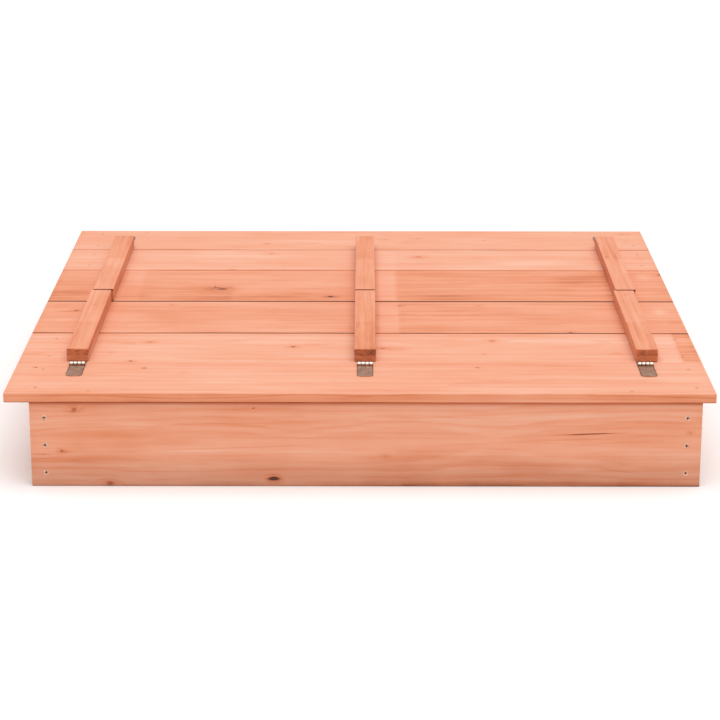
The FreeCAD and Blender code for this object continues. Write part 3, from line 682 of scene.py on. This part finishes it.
def leaf_material(node):
    """Steel for a hinge leaf: dull on its plate, with a painted highlight on its knuckles, and painted shade
    at its sides and in the gaps between knuckles."""
    material, g, shader = steel(node + "_steel", LEAF, LEAF_ROUGHNESS)
    low, high = [in_board_order(corner, "xyz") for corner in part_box(node)]
    x, y, z = g.split(board_place(g, "xyz"))
    from_top = g.math("SUBTRACT", z, high[2])
    from_middle = g.math("SUBTRACT", x, (low[0] + high[0]) / 2)
    half_knuckle = (high[0] - low[0]) / KNUCKLES / 2
    to_gap = g.math("PINGPONG", from_middle, half_knuckle)
    gap_shade = g.product(g.ease(to_gap, *GAP_INWARD), g.ease(from_top, *GAP_UPWARD), GAP_SHADE)
    rim_shade = g.product(g.ease(g.math("ABSOLUTE", from_middle), *RIM_OUTWARD), RIM_SHADE)
    shown = shader.inputs["Base Color"].links[0].from_socket
    # painted highlight on the knuckles' tops
    shown = g.blend(g.ease(from_top, *KNUCKLE_HIGHLIGHT_REACH), shown, KNUCKLE_HIGHLIGHT_COLOUR)
    # painted shade in the gaps between knuckles and at the leaf's sides
    shown = g.blend(g.math("MAXIMUM", gap_shade, rim_shade), shown, GAP_SHADE_COLOUR)
    g.tree.links.new(shown, shader.inputs["Base Color"])
    return material


def dress(node, material):
    """Give a CAD node its material."""
    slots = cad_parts[node].material_slots
    for slot in slots:
        slot.material = material
    if not slots:
        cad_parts[node].data.materials.append(material)


def dress_wood():
    for seed, (node, spec) in enumerate(BOARDS.items(), BOARD_SEED):
        dress(node, wood(node, seed, **spec))
    for seed, ((end, place), spec) in enumerate(BATTENS.items(), BATTEN_SEED):
        node = "%s_batten_%s" % (end, place)
        over_seat = (*OVER_SEAT[end], *ALL_BATTENS_ACROSS, OVER_SEAT_SOFT, OVER_SEAT_STAIN)
        dress(node, wood(node, seed, patches=[over_seat], butts=BUTTS[end], **BATTEN, **spec))
    posts = sorted(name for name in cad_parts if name.startswith("corner_post"))
    for seed, node in enumerate(posts, POST_SEED):
        dress(node, wood(node, seed, **POST))


def dress_steel():
    pin_steel = steel("hinge_pin_steel", PIN, PIN_ROUGHNESS)[0]
    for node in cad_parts:
        if "_leaf_" in node:
            dress(node, leaf_material(node))
        elif "hinge_pin" in node:
            dress(node, pin_steel)
        elif node in HEADS:
            dress(node, head_material(node, *HEADS[node]))


# Floor, light and camera.

FLOOR_HALF = 40.0
FLOOR_COLOUR = (0.90, 0.90, 0.90, 1.0)
FLOOR_ROUGHNESS = 0.9
FLOOR_SHINE = 0.1

ROOM_COLOUR = (1.0, 1.0, 1.0, 1.0)
ROOM_STRENGTH = 0.655
LIGHT_STRENGTH = 1.9
LIGHT_SPREAD_DEGREES = 70
LIGHT_FROM = (0.08, -0.22, 0.97)

CAMERA_PLACE = (0.0045, -3.3894, 1.0829)
LOOKING_DOWN = 17.077
CAMERA_TURNS = (("Z", 0.085), ("X", 90 - LOOKING_DOWN), ("Z", 0.048))
SENSOR_WIDTH = 36.0
LENS = 116.09
FARTHEST_SEEN = 200.0


def make_floor():
    corners = [(x * FLOOR_HALF, y * FLOOR_HALF, 0) for x, y in ((-1, -1), (1, -1), (1, 1), (-1, 1))]
    mesh = bpy.data.meshes.new("floor")
    mesh.from_pydata(corners, [], [(0, 1, 2, 3)])
    floor = bpy.data.objects.new("floor", mesh)
    bpy.context.scene.collection.objects.link(floor)
    material, _, shader = new_material("floor_paper")
    shader.inputs["Base Color"].default_value = FLOOR_COLOUR
    shader.inputs["Roughness"].default_value = FLOOR_ROUGHNESS
    shader.inputs["Specular IOR Level"].default_value = FLOOR_SHINE
    mesh.materials.append(material)


def make_light():
    """A pale room all round, and one very soft light from high up, a little to the front."""
    scene = bpy.context.scene
    world = bpy.data.worlds.new("room")
    world.use_nodes = True
    room = world.node_tree.nodes["Background"]
    room.inputs["Color"].default_value = ROOM_COLOUR
    room.inputs["Strength"].default_value = ROOM_STRENGTH
    scene.world = world
    lamp = bpy.data.lights.new("soft_light", "SUN")
    lamp.energy = LIGHT_STRENGTH
    lamp.angle = math.radians(LIGHT_SPREAD_DEGREES)
    light = bpy.data.objects.new("soft_light", lamp)
    light.rotation_euler = Vector(LIGHT_FROM).to_track_quat("Z", "Y").to_euler()
    scene.collection.objects.link(light)
    scene.view_settings.view_transform = "Standard"


def make_camera():
    """The photograph's viewpoint: in front, above, and looking a little down."""
    data = bpy.data.cameras.new("camera")
    data.sensor_width = SENSOR_WIDTH
    data.lens = LENS
    data.clip_end = FARTHEST_SEEN
    camera = bpy.data.objects.new("camera", data)
    bpy.context.scene.collection.objects.link(camera)
    pose = Matrix.Translation(CAMERA_PLACE)
    for axis, degrees in CAMERA_TURNS:
        pose = pose @ Matrix.Rotation(math.radians(degrees), 4, axis)
    camera.matrix_world = pose
    bpy.context.scene.camera = camera


make_camera()
make_light()
make_floor()
dress_wood()
dress_steel()
